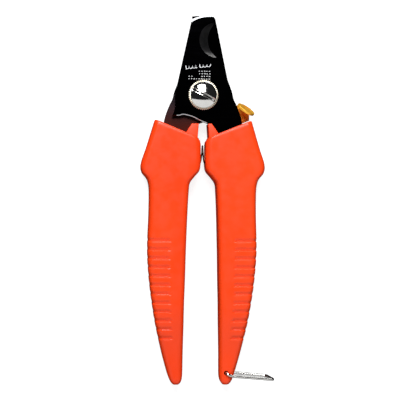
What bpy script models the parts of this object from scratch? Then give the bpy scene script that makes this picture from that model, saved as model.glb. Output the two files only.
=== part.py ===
"""Plier-style pet nail clipper: two crossed steel plates that turn on one pivot, a moulded grip on each
plate's tang, a coil spring between the grips' shoulders, a nail guard and a wire bail.

The clipper lies on its back. +X is to the right, +Y towards the jaws and +Z out of the front face. The
origin is where the pivot's axis meets the surface that the clipper lies on. Outlines are lists in
millimetres; everything else is in metres. The handles are nearly closed.
"""
import math

import bmesh
import bpy
from mathutils import Matrix, Vector

MM = 0.001
GAP = 0.3 * MM  # between pieces that touch

# Heights above the surface, from the back of the clipper to its front.
GRIP_THICKNESS = 13.0 * MM
MIDDLE = GRIP_THICKNESS / 2
PLATE_THICKNESS = 2.6 * MM
FRONT_PLATE_LOW = MIDDLE + GAP / 2
FRONT_PLATE_HIGH = FRONT_PLATE_LOW + PLATE_THICKNESS
REAR_PLATE_LOW = MIDDLE - GAP / 2 - PLATE_THICKNESS
GUARD_THICKNESS = 1.0 * MM
GUARD_LOW = REAR_PLATE_LOW - GAP - GUARD_THICKNESS
NUT_HIGH = 1.55 * MM
WAVE_WASHER_LOW = NUT_HIGH + GAP
WAVE_WASHER_HIGH = GUARD_LOW - GAP
TOOTHED_WASHER_LOW = FRONT_PLATE_HIGH + GAP
TOOTHED_WASHER_HIGH = TOOTHED_WASHER_LOW + 0.6 * MM
HEAD_LOW = TOOTHED_WASHER_HIGH + GAP
HEAD_RIM = 0.5 * MM
HEAD_HIGH = 12.5 * MM

# Radii about the pivot.
SHANK_RADIUS = 2.2 * MM
BUSH_RADIUS = 3.4 * MM
HEAD_RADIUS = 5.3 * MM
TOOTHED_WASHER_RADIUS = 6.2 * MM
TOOTH_DEPTH = 0.3 * MM
TEETH = 48
WAVE_WASHER_RADIUS = 6.2 * MM
WAVE_HEIGHT = 0.08 * MM
NUT_RADIUS = 5.8 * MM
SLOT_WIDTH = 1.3 * MM
SLOT_DEPTH = 1.1 * MM
SLOT_LENGTH = 14.0 * MM
SLOT_ANGLE = math.radians(-27)

# The front plate's outline, anticlockwise from its toe. The rear plate is the same, turned over, but for
# its toe.
FRONT_TOE = [(4.2, 32.2), (0.5, 33.0), (-4.9, 31.3)]
REAR_TOE = [(4.7, 32.45), (-0.2, 32.8), (-4.8, 31.85)]
LEFT_FLANK = [(-10.55, 4.7), (-11.3, 0.2), (-11.65, -5.6), (-12.6, -8.6)]
WAVY_EDGE = [(-12.6, -8.6), (-9.7, -8.5), (-8.0, -8.1), (-4.3, -8.95), (-1.1, -10.5), (4.6, -12.65)]
TANG = [(6.3, -15.3), (9.5, -18.8), (9.5, -31.0), (11.0, -60.0), (12.0, -74.0), (14.8, -74.0),
        (16.0, -50.0), (16.8, -30.0), (16.6, -18.0)]
RIGHT_FLANK = [(16.0, -11.4), (15.1, -7.8), (13.65, -4.0), (12.5, -1.7), (11.7, 1.6)]
MOUTH = [(6.4, 15.25), (4.05, 29.55)]
EDGE_CENTRE, EDGE_RADIUS = (10.8, 22.9), 9.0 * MM  # the cutting edge, on the plate's inner face
BEVEL_CENTRE, BEVEL_RADIUS = (5.35, 22.55), 7.2 * MM  # where its bevel meets the outer face
TOE_BEVEL_POINT = (0.0, 31.15)
TOE_BEVEL_SLOPE = math.radians(39.5)
TOE_BEVEL_TURN = math.radians(11)
TOE_CUTTER_SIZE = Vector((30, 10, 6)) * MM

# The right grip's inner and outer edges in pairs, from its slanted rim down. The left grip is its mirror
# image. Below the shoulder each pair is level.
SHOULDER = [((1.5, -17.7), (19.7, -10.2)), ((0.95, -20.2), (21.1, -14.8)), ((0.9, -24.0), (23.05, -21.3)),
            ((0.9, -28.0), (25.25, -28.0)), ((1.45, -31.0), (24.95, -31.5)), ((3.4, -33.4), (23.05, -34.0))]
HANDLE = [(5.2, 22.25, -36.0), (5.65, 21.85, -39.5), (6.1, 21.9, -49.0), (6.55, 22.3, -63.3),
          (6.8, 21.55, -75.0), (7.1, 20.25, -84.9), (7.2, 18.55, -94.7), (7.35, 16.15, -105.0),
          (7.4, 14.4, -111.4), (7.5, 13.4, -114.6), (8.0, 12.4, -116.8), (9.0, 11.3, -118.0)]
RIGHT_COLLAR = [(1.9, -11.8), (3.4, -11.8), (5.8, -15.2), (8.0, -19.0), (2.4, -19.0)]
LEFT_COLLAR = [(1.9, -11.8), (4.7, -11.8), (6.8, -15.1), (8.0, -19.0), (2.4, -19.0)]
GRIP_ROUNDING = 2.2 * MM
ROUNDING_OF_WIDTH, ROUNDING_OF_HALF = 0.35, 0.8  # the most that the rounding takes of a thin section
RIM_ROUNDING = 0.8 * MM
COLLAR_INSET = 1.25 * MM
TIP_INSET = 2.2 * MM  # how much thinner the tip is on each face
TAPER_START, TAPER_END = -84.0 * MM, -109.0 * MM
TIP_ROUNDING, TIP_DROP = 2.5 * MM, 1.5 * MM  # along the grip and across its thickness

# Grooves across the outer part of each grip: a long slope from above, then a steep rise below.
GROOVES = 12
FIRST_GROOVE_Y = -59.5 * MM
GROOVE_PITCH = 3.6 * MM
GROOVE_DEPTH = 0.5 * MM
GROOVE_ABOVE, GROOVE_BELOW = 1.5 * MM, 0.6 * MM
GROOVE_SHARE = 0.62  # of the grip's width that a groove covers
GROOVE_SIDE_SHARE = 0.3  # of its depth that it has on the grip's side
GROOVE_RUN_OUT, RUN_OUT_OF_WIDTH = 1.0 * MM, 0.1

# Spring, seated in a pocket in each grip.
SPRING_Y = -24.2 * MM
SPRING_RADIUS = 3.55 * MM
SPRING_WIRE = 0.32 * MM
SPRING_TURNS = 8
SPRING_REACH = 7.4 * MM
POCKET_RADIUS = 4.3 * MM
POCKET_DEPTH = 8.2 * MM
POCKET_MOUTH = 2.0 * MM  # how far the pocket's cutter reaches past the clipper's middle

# Nail guard, flat behind the rear plate.
HUB_RADIUS = 6.6 * MM
HUB_START, HUB_END = 14, 290  # degrees: where the arm leaves the hub
NOSE_HALF_WIDTH, NOSE_LENGTH = 3.9, 26.0
ARM = [(6.4, 1.4), (12.0, -3.0), (16.4, -4.0), (19.5, -5.9), (19.5, -9.7), (15.7, -11.3),
       (11.0, -10.6), (2.2, -6.2)]
PAD_CENTRE = Vector((17.45, -5.55, 7.45)) * MM
PAD_RADIUS = 3.95 * MM
PAD_THICKNESS = 1.0 * MM
PAD_TURN = math.radians(-31.5)
PAD_LEAN = math.radians(-12)  # its upper edge leans towards the pivot
NECK_SIZE = Vector((3.6, 0.8, 2.4)) * MM

# Wire bail in the right grip's tip.
BAIL_AXIS = (10.3, -113.1)
BAIL_KNEE = (12.1, -114.2)
BAIL_BACK_END, BAIL_FRONT_END = (28.0, -115.6), (29.6, -115.6)
BAIL_WIRE = 0.6 * MM
BAIL_HOLE_RADIUS = 0.95 * MM
BAIL_BEND = 1.3 * MM

COLORS = {
    "black_steel": ((0.012, 0.012, 0.016), 0.12, 1.0),
    "orange_plastic": ((0.91, 0.075, 0.014), 0.35, 0.0),
    "chrome": ((0.75, 0.74, 0.72), 0.12, 1.0),
    "gold": ((0.95, 0.46, 0.06), 0.3, 1.0),
    "spring_steel": ((0.22, 0.21, 0.2), 0.3, 1.0),
}


def clear_scene():
    for scene_object in list(bpy.data.objects):
        bpy.data.objects.remove(scene_object, do_unlink=True)


def new_collection(name):
    collection = bpy.data.collections.new(name)
    bpy.context.scene.collection.children.link(collection)
    return collection


def material(name):
    """The named finish: base colour, roughness and metallic value on a Principled BSDF."""
    if name in bpy.data.materials:
        return bpy.data.materials[name]
    color, roughness, metallic = COLORS[name]
    made = bpy.data.materials.new(name)
    made.use_nodes = True
    shader = made.node_tree.nodes["Principled BSDF"]
    shader.inputs["Base Color"].default_value = (*color, 1.0)
    shader.inputs["Roughness"].default_value = roughness
    shader.inputs["Metallic"].default_value = metallic
    made.diffuse_color = (*color, 1.0)
    return made


def in_metres(points, side=1):
    return [Vector((side * x, y)) * MM for x, y in points]


def smooth(points, steps):
    """A Catmull-Rom curve through 2D points, with steps straight pieces in each span."""
    ends = [2 * points[0] - points[1], *points, 2 * points[-1] - points[-2]]
    curve = []
    for a, b, c, d in zip(ends, ends[1:], ends[2:], ends[3:]):
        for step in range(steps):
            t = step / steps
            curve.append(b + (c - a) * t / 2 + (2 * a - 5 * b + 4 * c - d) * t * t / 2
                         + (3 * b - a - 3 * c + d) * t ** 3 / 2)
    return [*curve, points[-1]]


def arc(centre, radius, start, end, steps):
    """Points on an arc from start to end degrees."""
    angles = [math.radians(start + (end - start) * i / steps) for i in range(steps + 1)]
    return [Vector(centre) + radius * Vector((math.cos(a), math.sin(a))) for a in angles]


def circle(radius, steps=36):
    return arc((0, 0), radius, 0, 360, steps)[:-1]


def outset(outline, distance):
    """The outline moved outwards by a distance. The outline runs anticlockwise."""
    moved = []
    for i, point in enumerate(outline):
        before = (point - outline[i - 1]).normalized()
        after = (outline[(i + 1) % len(outline)] - point).normalized()
        mitre = Vector((before.y + after.y, -before.x - after.x)).normalized()
        reach = max(0.4, mitre.dot(Vector((before.y, -before.x))))
        moved.append(point + mitre * distance / reach)
    return moved


def rounded(points, radius, steps=3):
    """A 3D path with each inner corner cut by a curve that starts radius before it."""
    path = [points[0]]
    for before, corner, after in zip(points, points[1:], points[2:]):
        start = corner + (before - corner).normalized() * radius
        end = corner + (after - corner).normalized() * radius
        for step in range(steps + 1):
            t = step / steps
            path.append(start * (1 - t) ** 2 + corner * 2 * t * (1 - t) + end * t * t)
    return [*path, points[-1]]


def as_mesh(curve_object):
    """Replaces a curve object by a closed mesh object of the same name, place and collection."""
    bpy.context.view_layer.update()
    graph = bpy.context.evaluated_depsgraph_get()
    mesh = bpy.data.meshes.new_from_object(curve_object.evaluated_get(graph))
    work = bmesh.new()
    work.from_mesh(mesh)
    bmesh.ops.remove_doubles(work, verts=work.verts, dist=1e-6)
    bmesh.ops.recalc_face_normals(work, faces=work.faces)
    work.to_mesh(mesh)
    work.free()
    name, place = curve_object.name, curve_object.matrix_world.copy()
    collection = curve_object.users_collection[0]
    bpy.data.objects.remove(curve_object, do_unlink=True)
    made = bpy.data.objects.new(name, mesh)
    made.matrix_world = place
    collection.objects.link(made)
    return made


def flat_solid(name, collection, outlines, low, high):
    """The area inside the first outline and outside the others, between two heights, as a mesh."""
    curve = bpy.data.curves.new(name, "CURVE")
    curve.dimensions = "2D"
    curve.fill_mode = "BOTH"
    curve.extrude = (high - low) / 2
    for outline in outlines:
        spline = curve.splines.new("POLY")
        spline.points.add(len(outline) - 1)
        for spot, point in zip(spline.points, outline):
            spot.co = (point.x, point.y, 0, 1)
        spline.use_cyclic_u = True
    made = bpy.data.objects.new(name, curve)
    collection.objects.link(made)
    made.location.z = (low + high) / 2
    return as_mesh(made)


def wire(name, collection, path, radius):
    """A round wire along a 3D path, with closed ends, as a curve object."""
    curve = bpy.data.curves.new(name, "CURVE")
    curve.dimensions = "3D"
    curve.bevel_depth = radius
    curve.bevel_resolution = 2
    curve.use_fill_caps = True
    spline = curve.splines.new("POLY")
    spline.points.add(len(path) - 1)
    for spot, point in zip(spline.points, path):
        spot.co = (*point, 1)
    made = bpy.data.objects.new(name, curve)
    collection.objects.link(made)
    return made


def turned(name, collection, profile, steps=36, closed=False):
    """A body turned about Z from (radius, height) points that run down its outer side."""
    mesh = bpy.data.meshes.new(name)
    edges = [(i, i + 1) for i in range(len(profile) - 1)]
    if closed:
        edges.append((len(profile) - 1, 0))
    mesh.from_pydata([(radius, 0, height) for radius, height in profile], edges, [])
    made = bpy.data.objects.new(name, mesh)
    collection.objects.link(made)
    screw = made.modifiers.new("turn", "SCREW")
    screw.steps = screw.render_steps = steps
    screw.use_merge_vertices = True
    screw.merge_threshold = 1e-6
    screw.use_smooth_shade = False
    return made


def box(name, collection, size, place):
    """A box of the given size at a placement matrix."""
    mesh = bpy.data.meshes.new(name)
    work = bmesh.new()
    bmesh.ops.create_cube(work, size=1.0, matrix=Matrix.Diagonal((*size, 1.0)))
    work.to_mesh(mesh)
    work.free()
    made = bpy.data.objects.new(name, mesh)
    made.matrix_world = place
    collection.objects.link(made)
    return made


def cylinder(name, collection, radius, length, place, steps=32):
    """A cylinder whose axis is the placement's Z."""
    mesh = bpy.data.meshes.new(name)
    work = bmesh.new()
    bmesh.ops.create_cone(work, cap_ends=True, segments=steps, radius1=radius, radius2=radius,
                          depth=length)
    work.to_mesh(mesh)
    work.free()
    made = bpy.data.objects.new(name, mesh)
    made.matrix_world = place
    collection.objects.link(made)
    return made


def boolean(target, other, operation="DIFFERENCE"):
    change = target.modifiers.new(other.name, "BOOLEAN")
    change.operation = operation
    change.object = other
    other.hide_render = True
    other.display_type = "WIRE"


def finish(target, finish_name, parent):
    """Gives a part its material and hangs it on the empty at its joint."""
    target.data.materials.clear()
    target.data.materials.append(material(finish_name))
    target.parent = parent
    target.matrix_parent_inverse = Matrix.Translation(-parent.location)


def shade(target, degrees=35):
    target.data.shade_smooth()
    target.data.set_sharp_from_angle(angle=math.radians(degrees))


def joint_empty(name, collection, spot):
    empty = bpy.data.objects.new(name, None)
    empty.location = spot
    collection.objects.link(empty)
    return empty


def plate_outline(toe):
    """A plate's outline, anticlockwise, without its notch."""
    toe = smooth(in_metres(toe), 4)
    wavy = smooth(in_metres(WAVY_EDGE), 3)
    right = smooth(in_metres(RIGHT_FLANK), 2)
    return [*toe, *in_metres(LEFT_FLANK)[:-1], *wavy, *in_metres(TANG), *right, *in_metres(MOUTH)]


def notch_cutter(cutters, name):
    """An oblique cone from the cutting edge's arc to the bevel's arc, run past both faces."""
    low, high = Vector(EDGE_CENTRE) * MM, Vector(BEVEL_CENTRE) * MM
    past = 0.2  # of the plate's thickness
    growth = (BEVEL_RADIUS - EDGE_RADIUS) * past
    shift = (high - low) * past
    mesh = bpy.data.meshes.new(name)
    work = bmesh.new()
    bmesh.ops.create_cone(work, cap_ends=True, segments=64, radius1=EDGE_RADIUS - growth,
                          radius2=BEVEL_RADIUS + growth, depth=PLATE_THICKNESS * (1 + 2 * past))
    for vertex in work.verts:
        centre = low - shift if vertex.co.z < 0 else high + shift
        vertex.co.xy += centre
        vertex.co.z += FRONT_PLATE_LOW + PLATE_THICKNESS / 2
    work.to_mesh(mesh)
    work.free()
    made = bpy.data.objects.new(name, mesh)
    cutters.objects.link(made)
    return made


def toe_bevel_cutter(cutters, name):
    """A box whose lower face is the ground bevel along the plate's toe."""
    spot = Vector((TOE_BEVEL_POINT[0] * MM, TOE_BEVEL_POINT[1] * MM, FRONT_PLATE_HIGH))
    turn = Matrix.Rotation(TOE_BEVEL_TURN, 4, "Z") @ Matrix.Rotation(-TOE_BEVEL_SLOPE, 4, "X")
    rise = Matrix.Translation((0, 0, TOE_CUTTER_SIZE.z / 2))
    return box(name, cutters, TOE_CUTTER_SIZE, Matrix.Translation(spot) @ turn @ rise)


def blade(name, parts, cutters, outline, hole_radius, turned_over, parent):
    """A plate with its notch, toe bevel and pivot hole."""
    made = flat_solid(name, parts, [outline, circle(hole_radius)], FRONT_PLATE_LOW, FRONT_PLATE_HIGH)
    for cutter in (notch_cutter(cutters, name + "_notch"), toe_bevel_cutter(cutters, name + "_toe")):
        boolean(made, cutter)
        cutter.matrix_world = turned_over @ cutter.matrix_world
    made.matrix_world = turned_over @ made.matrix_world
    finish(made, "black_steel", parent)


def groove_depth(y):
    """How deep the grooves are at a height along the grip."""
    nearest = round((FIRST_GROOVE_Y - y) / GROOVE_PITCH)
    if not 0 <= nearest < GROOVES:
        return 0.0
    below = FIRST_GROOVE_Y - nearest * GROOVE_PITCH - y
    reach = GROOVE_BELOW if below > 0 else GROOVE_ABOVE
    return GROOVE_DEPTH * max(0.0, 1 - abs(below) / reach)


def half_thickness(y):
    """Half of the grip's thickness: full, then tapered to the thin tip, then rounded at its end."""
    share = min(1.0, max(0.0, (TAPER_START - y) / (TAPER_START - TAPER_END)))
    half = GRIP_THICKNESS / 2 - TIP_INSET * share * share * (3 - 2 * share)
    near_end = max(0.0, 1 - (y - HANDLE[-1][2] * MM) / TIP_ROUNDING)
    return half - TIP_DROP * (1 - math.sqrt(1 - min(1.0, near_end) ** 2))


def grip_section(inner, outer, half, corner, groove):
    """A rounded rectangle that stands on the line from inner to outer, with its outer part sunk."""
    across = outer - inner
    width = across.length
    run_out_end = width * (1 - GROOVE_SHARE)
    run_out = min(GROOVE_RUN_OUT, RUN_OUT_OF_WIDTH * width)
    sunk = half - groove
    quarter = [math.radians(30 * i) for i in range(4)]
    arc_points = [(corner * math.cos(a), corner * math.sin(a)) for a in quarter]
    side = width - groove * GROOVE_SIDE_SHARE - corner
    upper = [(side + u, sunk - corner + z) for u, z in arc_points]
    upper += [(run_out_end + run_out, sunk), (run_out_end, half)]
    upper += [(corner - u, half - corner + z) for u, z in reversed(arc_points)]
    around = upper + [(u, -z) for u, z in reversed(upper)]
    return [(*(inner + across * (u / width)), MIDDLE + z) for u, z in around]


def grip_rows():
    """Inner edge, outer edge, half thickness, corner radius and groove depth, from rim to tip."""
    level = [((x_in, y), (x_out, y)) for x_in, x_out, y in HANDLE]
    pairs = [[Vector(pair[i]) * MM for pair in SHOULDER + level] for i in (0, 1)]
    inner, outer = (smooth(edge, 4) for edge in pairs)
    split = 4 * len(SHOULDER)
    top = list(zip(inner[:split:2], outer[:split:2]))
    first, last = groove_ends()
    steps = [-GROOVE_ABOVE, 0.0, GROOVE_BELOW]
    grooved = [FIRST_GROOVE_Y - i * GROOVE_PITCH - step for i in range(GROOVES) for step in steps]
    plain = [edge.y for edge in inner[split::2] if edge.y > first or edge.y < last]
    below = [(point_at(inner, y), point_at(outer, y)) for y in sorted(plain + grooved, reverse=True)]
    rows = []
    for near, far in top + below:
        half = half_thickness(min(near.y, far.y))
        corner = min(GRIP_ROUNDING, ROUNDING_OF_WIDTH * (far - near).length, ROUNDING_OF_HALF * half)
        rows.append((near, far, half, corner, groove_depth(near.y) if near.y < first + GAP else 0.0))
    near, far, half, corner, groove = rows[0]
    along = (far - near).normalized() * RIM_ROUNDING
    lower = Vector((along.y, -along.x))
    return [(near + along, far - along, half - RIM_ROUNDING, corner, groove),
            (near + lower, far + lower, half, corner, groove), *rows[1:]]


def groove_ends():
    """The heights where the grooves start and end."""
    return FIRST_GROOVE_Y + GROOVE_ABOVE, FIRST_GROOVE_Y - (GROOVES - 1) * GROOVE_PITCH - GROOVE_BELOW


def point_at(edge, y):
    """The point of a descending edge at a height."""
    for above, below in zip(edge, edge[1:]):
        if above.y >= y >= below.y:
            return above.lerp(below, (above.y - y) / (above.y - below.y))
    return edge[-1]


def loft(name, collection, rings):
    """A closed body through rings of equally many points, with flat ends."""
    mesh = bpy.data.meshes.new(name)
    work = bmesh.new()
    rings = [[work.verts.new(point) for point in ring] for ring in rings]
    for upper, lower in zip(rings, rings[1:]):
        for i in range(len(upper)):
            work.faces.new((upper[i - 1], upper[i], lower[i], lower[i - 1]))
    work.faces.new(rings[0])
    work.faces.new(rings[-1])
    bmesh.ops.recalc_face_normals(work, faces=work.faces)
    work.to_mesh(mesh)
    work.free()
    made = bpy.data.objects.new(name, mesh)
    collection.objects.link(made)
    return made


def grip(name, parts, cutters, collar, side, plate_low, plate, parent):
    """A moulded grip with its collar, the slot for its plate's tang and its spring pocket."""
    rings = []
    for near, far, half, corner, groove in grip_rows():
        ring = grip_section(near, far, half, corner, groove)
        rings.append([(side * x, y, z) for x, y, z in ring])
    made = loft(name, parts, rings)
    inset = COLLAR_INSET
    corners = in_metres(collar, side)
    rim = flat_solid(name + "_collar", cutters, [corners], inset, GRIP_THICKNESS - inset)
    boolean(made, rim, "UNION")
    outline = [Vector((side * point.x, point.y)) for point in outset(plate, GAP)]
    low, high = plate_low - GAP, plate_low + PLATE_THICKNESS + GAP
    boolean(made, flat_solid(name + "_slot", cutters, [outline], low, high))
    centre = Matrix.Translation((side * (POCKET_DEPTH - POCKET_MOUTH) / 2, SPRING_Y, MIDDLE))
    along_x = centre @ Matrix.Rotation(math.pi / 2, 4, "Y")
    length = POCKET_DEPTH + POCKET_MOUTH
    boolean(made, cylinder(name + "_pocket", cutters, POCKET_RADIUS, length, along_x, 28))
    finish(made, "orange_plastic", parent)
    return made


def bail_hole(grip_object, cutters):
    spot = Vector((BAIL_AXIS[0] * MM, BAIL_AXIS[1] * MM, MIDDLE))
    place = Matrix.Translation(spot)
    boolean(grip_object, cylinder("bail_hole", cutters, BAIL_HOLE_RADIUS, 2 * GRIP_THICKNESS, place, 16))


def pivot_screw(parts, cutters, parent):
    """A domed, slotted head on a shank whose end is flush with the nut's back."""
    rise = HEAD_HIGH - HEAD_LOW - HEAD_RIM
    dome = [(HEAD_RADIUS * math.sin(a), HEAD_LOW + HEAD_RIM + rise * math.cos(a))
            for a in (math.radians(15 * i) for i in range(7))]
    profile = [*dome, (HEAD_RADIUS, HEAD_LOW), (SHANK_RADIUS, HEAD_LOW), (SHANK_RADIUS, 0), (0, 0)]
    made = turned("pivot_screw", parts, profile, 40)
    size = Vector((SLOT_LENGTH, SLOT_WIDTH, 2 * SLOT_DEPTH))
    place = Matrix.Translation((0, 0, HEAD_HIGH)) @ Matrix.Rotation(SLOT_ANGLE, 4, "Z")
    boolean(made, box("screw_slot", cutters, size, place))
    finish(made, "chrome", parent)


def toothed_washer(parts, parent):
    teeth = []
    for i in range(2 * TEETH):
        radius = TOOTHED_WASHER_RADIUS - TOOTH_DEPTH * (i % 2)
        angle = math.pi * i / TEETH
        teeth.append(radius * Vector((math.cos(angle), math.sin(angle))))
    rings = [teeth, circle(SHANK_RADIUS + GAP, 24)]
    made = flat_solid("toothed_washer", parts, rings, TOOTHED_WASHER_LOW, TOOTHED_WASHER_HIGH)
    finish(made, "chrome", parent)


def pivot_bush(parts, parent):
    inner, high = SHANK_RADIUS + GAP, FRONT_PLATE_LOW - GAP
    profile = [(BUSH_RADIUS, high), (BUSH_RADIUS, WAVE_WASHER_LOW), (inner, WAVE_WASHER_LOW), (inner, high)]
    finish(turned("pivot_bush", parts, profile, 32, closed=True), "chrome", parent)


def wave_washer(parts, parent):
    """A thin spring washer with three waves."""
    rings = [circle(WAVE_WASHER_RADIUS), circle(BUSH_RADIUS + GAP)]
    made = flat_solid("wave_washer", parts, rings, WAVE_WASHER_LOW, WAVE_WASHER_HIGH)
    for vertex in made.data.vertices:
        vertex.co.z += WAVE_HEIGHT * math.cos(3 * math.atan2(vertex.co.y, vertex.co.x))
    finish(made, "spring_steel", parent)


def pivot_nut(parts, parent):
    """A thin six-sided nut, flush with the surface that the clipper lies on."""
    rings = [circle(NUT_RADIUS, 6), circle(SHANK_RADIUS + GAP, 24)]
    finish(flat_solid("pivot_nut", parts, rings, 0, NUT_HIGH), "chrome", parent)


def nail_guard(parts, cutters, parent):
    """A flat nose and arm on the pivot, and an oval pad that stands up from the arm."""
    half, length = NOSE_HALF_WIDTH * MM, NOSE_LENGTH * MM
    nose = arc((0, length), half, 0, 180, 12)
    root = math.degrees(math.acos(half / HUB_RADIUS))
    back = arc((0, 0), HUB_RADIUS, 180 - root, HUB_END, 12)
    arm = in_metres(ARM)[::-1]
    front = arc((0, 0), HUB_RADIUS, HUB_START, root, 4)
    outline = [*nose, *back, *arm[1:-1], *front]
    rings = [outline, circle(BUSH_RADIUS + GAP)]
    made = flat_solid("nail_guard", parts, rings, GUARD_LOW, GUARD_LOW + GUARD_THICKNESS)
    turn = Matrix.Rotation(PAD_TURN, 4, "Z") @ Matrix.Rotation(-PAD_LEAN, 4, "X")
    upright = Matrix.Translation(PAD_CENTRE) @ turn
    facing = upright @ Matrix.Rotation(math.pi / 2, 4, "X")
    boolean(made, cylinder("guard_pad", cutters, PAD_RADIUS, PAD_THICKNESS, facing), "UNION")
    drop = PAD_CENTRE.z - GUARD_LOW - GUARD_THICKNESS / 2 - NECK_SIZE.z / 2
    neck = upright @ Matrix.Translation((0, 0, -drop))
    boolean(made, box("guard_neck", cutters, NECK_SIZE, neck), "UNION")
    finish(made, "gold", parent)


def coil_spring(parts, parent):
    points = 12 * SPRING_TURNS
    path = []
    for i in range(points + 1):
        angle = 2 * math.pi * SPRING_TURNS * i / points
        x = SPRING_REACH * (1 - 2 * i / points)
        path.append((x, SPRING_RADIUS * math.cos(angle), SPRING_RADIUS * math.sin(angle)))
    made = wire("coil_spring", parts, path, SPRING_WIRE)
    made.location = (0, SPRING_Y, MIDDLE)
    finish(made, "spring_steel", parent)


def wire_bail(parts, parent):
    """A loop of wire whose two ends turn into the hole in the grip's tip."""
    reach = MIDDLE - TIP_INSET + GAP + BAIL_WIRE
    axis, knee = Vector(BAIL_AXIS) * MM, Vector(BAIL_KNEE) * MM - Vector(BAIL_AXIS) * MM
    ends = [Vector(end) * MM - axis for end in (BAIL_BACK_END, BAIL_FRONT_END)]
    path = [(0, 0, -GAP), (0, 0, -reach), (*knee, -reach), (*ends[0], -reach), (*ends[1], reach),
            (*knee, reach), (0, 0, reach), (0, 0, GAP)]
    made = wire("wire_bail", parts, rounded([Vector(p) for p in path], BAIL_BEND), BAIL_WIRE)
    made.location = (axis.x, axis.y, MIDDLE)
    finish(made, "chrome", parent)


def build():
    clear_scene()
    parts, cutters = new_collection("pet_nail_clipper"), new_collection("cutters")
    root = joint_empty("right_lever_root", parts, (0, 0, 0))
    left = joint_empty("handle_pivot", parts, (0, 0, MIDDLE))
    guard = joint_empty("guard_pivot", parts, (0, 0, GUARD_LOW))
    bail = joint_empty("bail_pivot", parts, (BAIL_AXIS[0] * MM, BAIL_AXIS[1] * MM, MIDDLE))
    turned_over = Matrix.Translation((0, 0, GRIP_THICKNESS)) @ Matrix.Rotation(math.pi, 4, "Y")
    front_plate, rear_plate = plate_outline(FRONT_TOE), plate_outline(REAR_TOE)
    blade("front_blade", parts, cutters, front_plate, SHANK_RADIUS + GAP, Matrix.Identity(4), root)
    blade("rear_blade", parts, cutters, rear_plate, BUSH_RADIUS + GAP, turned_over, left)
    right_grip = grip("right_grip", parts, cutters, RIGHT_COLLAR, 1, FRONT_PLATE_LOW, front_plate, root)
    bail_hole(right_grip, cutters)
    grip("left_grip", parts, cutters, LEFT_COLLAR, -1, REAR_PLATE_LOW, rear_plate, left)
    pivot_screw(parts, cutters, root)
    toothed_washer(parts, root)
    pivot_bush(parts, root)
    wave_washer(parts, root)
    pivot_nut(parts, root)
    nail_guard(parts, cutters, guard)
    coil_spring(parts, root)
    wire_bail(parts, bail)
    for part in parts.objects:
        if part.type == "MESH":
            shade(part)


build()
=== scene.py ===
"""The looks of a plier-style pet nail clipper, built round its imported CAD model.

The clipper lies on its back: +X is to the right, +Y towards the jaws and +Z out of the front face.
Outlines are in millimetres, as in the CAD; heights and centres come from the CAD nodes' boxes.
"""
import math

import bmesh
import bpy
from mathutils import Matrix, Vector


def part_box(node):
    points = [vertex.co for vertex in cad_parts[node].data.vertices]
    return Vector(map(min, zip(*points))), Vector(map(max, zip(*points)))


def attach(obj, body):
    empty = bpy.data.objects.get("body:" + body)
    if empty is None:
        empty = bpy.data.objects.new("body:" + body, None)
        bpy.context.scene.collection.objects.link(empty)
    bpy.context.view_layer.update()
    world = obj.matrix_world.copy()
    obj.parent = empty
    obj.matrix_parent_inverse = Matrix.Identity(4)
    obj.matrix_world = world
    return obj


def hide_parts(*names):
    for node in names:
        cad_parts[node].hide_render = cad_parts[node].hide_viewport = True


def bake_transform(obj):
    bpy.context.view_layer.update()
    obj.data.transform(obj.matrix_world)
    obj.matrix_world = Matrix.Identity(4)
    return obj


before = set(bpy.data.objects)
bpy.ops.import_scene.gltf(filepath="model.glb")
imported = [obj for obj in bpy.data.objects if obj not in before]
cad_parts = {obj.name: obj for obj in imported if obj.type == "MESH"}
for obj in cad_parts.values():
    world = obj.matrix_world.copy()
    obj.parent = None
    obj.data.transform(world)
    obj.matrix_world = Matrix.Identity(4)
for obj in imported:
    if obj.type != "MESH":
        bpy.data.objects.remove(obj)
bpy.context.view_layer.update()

MM = 0.001

# Heights and centres, in metres, from the CAD nodes.
FRONT_LOW, FRONT_HIGH = (corner.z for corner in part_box("front_blade"))
REAR_LOW, REAR_HIGH = (corner.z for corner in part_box("rear_blade"))
GUARD_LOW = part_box("nail_guard")[0].z
WASHER_LOW, WASHER_HIGH = (corner.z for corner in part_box("toothed_washer"))
HEAD_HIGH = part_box("pivot_screw")[1].z
GRIP_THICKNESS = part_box("left_grip")[1].z
MIDDLE = (FRONT_LOW + REAR_HIGH) / 2
PLATE_THICKNESS = FRONT_HIGH - FRONT_LOW
SPRING_LOW, SPRING_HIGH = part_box("coil_spring")
SPRING_CENTRE = (SPRING_LOW + SPRING_HIGH) / 2

# The front plate's outline, anticlockwise from its toe. The rear plate is the same, turned over, but for
# its toe.
FRONT_TOE = [(4.2, 32.2), (1.7, 32.94), (-0.4, 32.55), (-4.95, 30.95)]
REAR_TOE = [(4.7, 32.45), (-0.2, 32.8), (-4.8, 31.85)]
LEFT_FLANK = [(-10.55, 4.7), (-11.3, 0.2), (-11.65, -5.6), (-12.6, -8.6)]
WAVY_EDGE = [(-12.6, -8.6), (-9.7, -8.5), (-8.0, -8.1), (-4.3, -8.95), (-1.1, -10.5), (4.6, -12.65)]
TANG = [(6.3, -15.3), (9.5, -18.8), (9.5, -31.0), (11.0, -60.0), (12.0, -74.0), (14.8, -74.0),
        (16.0, -50.0), (16.8, -30.0), (16.6, -18.0)]
RIGHT_FLANK = [(16.0, -11.4), (15.1, -7.8), (13.65, -4.0), (12.5, -1.7), (11.7, 1.6)]
MOUTH = [(6.4, 15.25), (4.05, 29.55)]
EDGE_CENTRE, EDGE_RADIUS = (10.8, 22.9), 9.0
BEVEL_CENTRE, BEVEL_RADIUS = (5.35, 22.55), 7.2
PLATE_ROUNDING = 0.16
WAVY_ROUNDING, WAVY_DROP = 0.3, 0.13
TOE_BEVEL_CENTRE, TOE_BEVEL_RADIUS, TOE_BEVEL_SLOPE = (2.4, 18.85), 13.1, 39.5

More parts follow.
